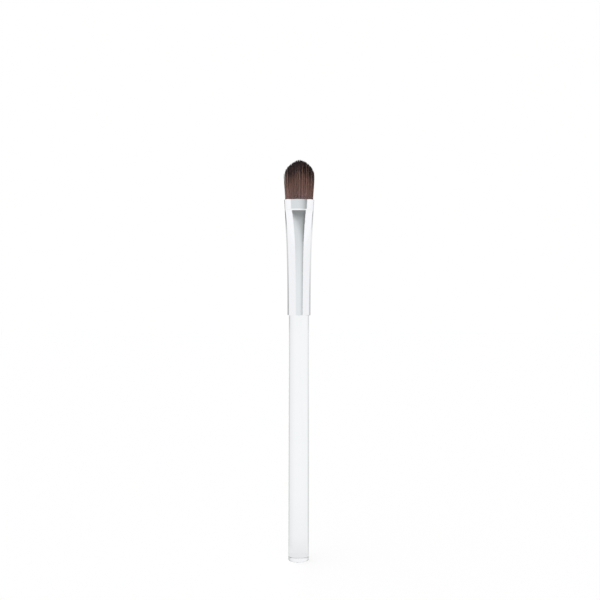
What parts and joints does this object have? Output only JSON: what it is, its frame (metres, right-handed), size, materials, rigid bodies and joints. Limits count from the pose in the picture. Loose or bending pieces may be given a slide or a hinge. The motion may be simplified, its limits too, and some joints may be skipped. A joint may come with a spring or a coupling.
{
  "type": "eyeshadow brush",
  "caption": "Flat domed eyeshadow brush: dark-tipped synthetic hair in a polished metal ferrule pressed to an oval mouth, on a slender clear rod handle.",
  "frame": {"origin": "centre of the handle's flat butt face, the lowest point of the standing brush", "axes": "+Z along the brush from the butt to the hair tip, X across the width of the flat tuft, Y through its thickness with the pictured face towards -Y"},
  "size_m": [0.012, 0.0092, 0.1603],
  "materials": {
    "clear_acrylic": "polished",
    "polished_aluminium": "polished",
    "brown_filament": "satin",
    "epoxy_resin": "gloss",
    "clear_adhesive": "gloss",
    "tie_thread": "matte"
  },
  "bodies": {
    "root": {"handle": "clear_acrylic", "tenon_adhesive": "clear_adhesive", "ferrule": "polished_aluminium", "root_resin": "epoxy_resin", "binding_thread": "tie_thread", "hair_tuft": "brown_filament"}
  },
  "joints": []
}
